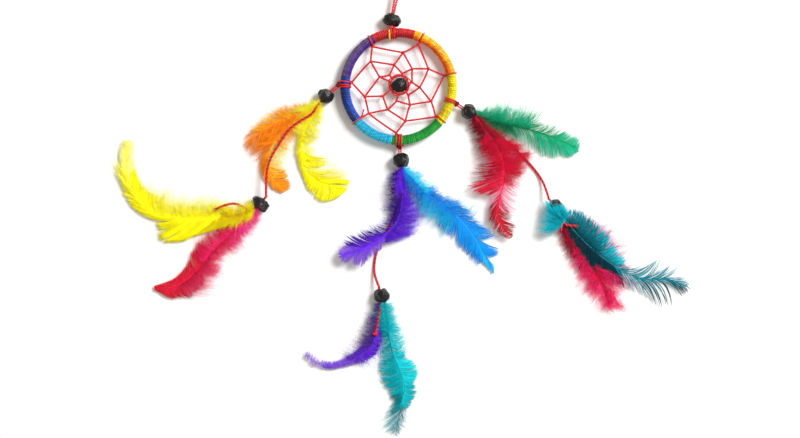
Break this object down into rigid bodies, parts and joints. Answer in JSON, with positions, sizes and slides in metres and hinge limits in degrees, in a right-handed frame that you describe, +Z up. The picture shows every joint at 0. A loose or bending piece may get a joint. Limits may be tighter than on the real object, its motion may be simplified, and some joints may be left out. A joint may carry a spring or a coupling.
{
  "type": "dream catcher",
  "caption": "Dream catcher: a thread-wrapped hoop with a net, a centre bead, a hanging loop and beaded cord pendants that carry dyed feathers.",
  "frame": {"origin": "on the floor, under the middle of the object as it lies flat, its hanging loop left out", "axes": "+Z up and square to the hoop, +Y from the hoop towards the hanging loop, +X to the right"},
  "size_m": [0.2944, 0.2923, 0.0084],
  "materials": {
    "ring_core": "plain steel wire ring, hidden under the thread",
    "wrap_red": "tight waxed thread",
    "wrap_orange": "tight waxed thread, golden outside and orange inside",
    "wrap_yellow": "tight waxed thread",
    "wrap_green": "tight waxed thread",
    "wrap_turquoise": "tight waxed thread",
    "wrap_blue": "tight waxed thread",
    "wrap_purple": "tight waxed thread",
    "net_thread": "waxed polyester thread",
    "cord_red": "twisted waxed cord",
    "bead_black": "black, carved and polished",
    "feather_orange": "dyed feather",
    "feather_yellow": "dyed feather",
    "feather_crimson": "dyed feather",
    "feather_violet": "dyed feather",
    "feather_azure": "dyed feather",
    "feather_turquoise": "dyed feather",
    "feather_green": "dyed feather",
    "feather_teal": "dyed feather",
    "feather_pink": "dyed feather"
  },
  "bodies": {
    "hoop": {"hoop_ring": "ring_core", "wrap_red": "wrap_red", "wrap_purple": "wrap_purple", "wrap_blue": "wrap_blue", "wrap_turquoise": "wrap_turquoise", "wrap_green": "wrap_green", "wrap_yellow": "wrap_yellow", "wrap_orange": "wrap_orange", "web_thread": "net_thread", "loop_hitch": "cord_red", "left_lashing": "cord_red", "middle_lashing": "cord_red", "right_lashing": "cord_red"},
    "centre_bead": {"centre_bead": "bead_black"},
    "hanging_loop": {"hanging_loop": "cord_red"},
    "top_bead": {"top_bead": "bead_black"},
    "left_pendant": {"left_upper_cord": "cord_red", "left_upper_bead": "bead_black", "left_upper_feather_orange_outer": "feather_orange", "left_upper_feather_orange_inner": "feather_orange", "left_upper_feather_yellow": "feather_yellow"},
    "left_cord": {"left_connecting_cord": "cord_red"},
    "left_drop": {"left_lower_bead": "bead_black", "left_tail_cord": "cord_red", "left_lower_feather_yellow": "feather_yellow", "left_lower_feather_crimson": "feather_crimson"},
    "middle_pendant": {"middle_upper_cord": "cord_red", "middle_upper_bead": "bead_black", "middle_upper_feather_violet": "feather_violet", "middle_upper_feather_azure": "feather_azure"},
    "middle_cord": {"middle_connecting_cord": "cord_red"},
    "middle_drop": {"middle_lower_bead": "bead_black", "middle_tail_cord": "cord_red", "middle_lower_feather_violet": "feather_violet", "middle_lower_feather_turquoise": "feather_turquoise"},
    "right_pendant": {"right_upper_cord": "cord_red", "right_upper_bead": "bead_black", "right_upper_feather_green": "feather_green", "right_upper_feather_crimson": "feather_crimson"},
    "right_cord": {"right_connecting_cord": "cord_red"},
    "right_drop": {"right_lower_bead": "bead_black", "right_tail_cord": "cord_red", "right_lower_feather_teal": "feather_teal", "right_lower_feather_pink": "feather_pink"}
  },
  "joints": [
    {"name": "hanging_loop_swing", "type": "hinge", "parent": "hoop", "child": "hanging_loop", "pos_m": [-0.006, 0.1031, 0.0042], "axis": [0, 0, 1], "range_deg": [-8, 25]},
    {"name": "top_bead_slide", "type": "slide", "parent": "hanging_loop", "child": "top_bead", "axis": [0.2079, 0.9781, 0], "range_m": [0, 0.008]},
    {"name": "centre_bead_spin", "type": "hinge", "parent": "hoop", "child": "centre_bead", "pos_m": [-0.0012, 0.0728, 0.0042], "axis": [1, 0, 0], "continuous": true},
    {"name": "left_pendant_swing", "type": "hinge", "parent": "hoop", "child": "left_pendant", "pos_m": [-0.03395, 0.07294, 0.0052], "axis": [0, 0, 1], "range_deg": [-40, 20]},
    {"name": "left_cord_swing", "type": "hinge", "parent": "left_pendant", "child": "left_cord", "pos_m": [-0.04338, 0.06247, 0.0052], "axis": [0, 0, 1], "range_deg": [-25, 20]},
    {"name": "left_drop_swing", "type": "hinge", "parent": "left_cord", "child": "left_drop", "pos_m": [-0.07012, 0.01492, 0.0052], "axis": [0, 0, 1], "range_deg": [-20, 20]},
    {"name": "middle_pendant_swing", "type": "hinge", "parent": "hoop", "child": "middle_pendant", "pos_m": [-0.00123, 0.03975, 0.0032], "axis": [0, 0, 1], "range_deg": [-15, 15]},
    {"name": "middle_cord_swing", "type": "hinge", "parent": "middle_pendant", "child": "middle_cord", "pos_m": [0.00025, 0.0277, 0.0032], "axis": [0, 0, 1], "range_deg": [-20, 20]},
    {"name": "middle_drop_swing", "type": "hinge", "parent": "middle_cord", "child": "middle_drop", "pos_m": [-0.01191, -0.03124, 0.0042], "axis": [0, 0, 1], "range_deg": [-20, 20]},
    {"name": "right_pendant_swing", "type": "hinge", "parent": "hoop", "child": "right_pendant", "pos_m": [0.02923, 0.0628, 0.0032], "axis": [0, 0, 1], "range_deg": [-15, 35]},
    {"name": "right_cord_swing", "type": "hinge", "parent": "right_pendant", "child": "right_cord", "pos_m": [0.03963, 0.05552, 0.0032], "axis": [0, 0, 1], "range_deg": [-12, 20]},
    {"name": "right_drop_swing", "type": "hinge", "parent": "right_cord", "child": "right_drop", "pos_m": [0.07609, 0.01376, 0.0052], "axis": [0, 0, 1], "range_deg": [-20, 20]}
  ]
}
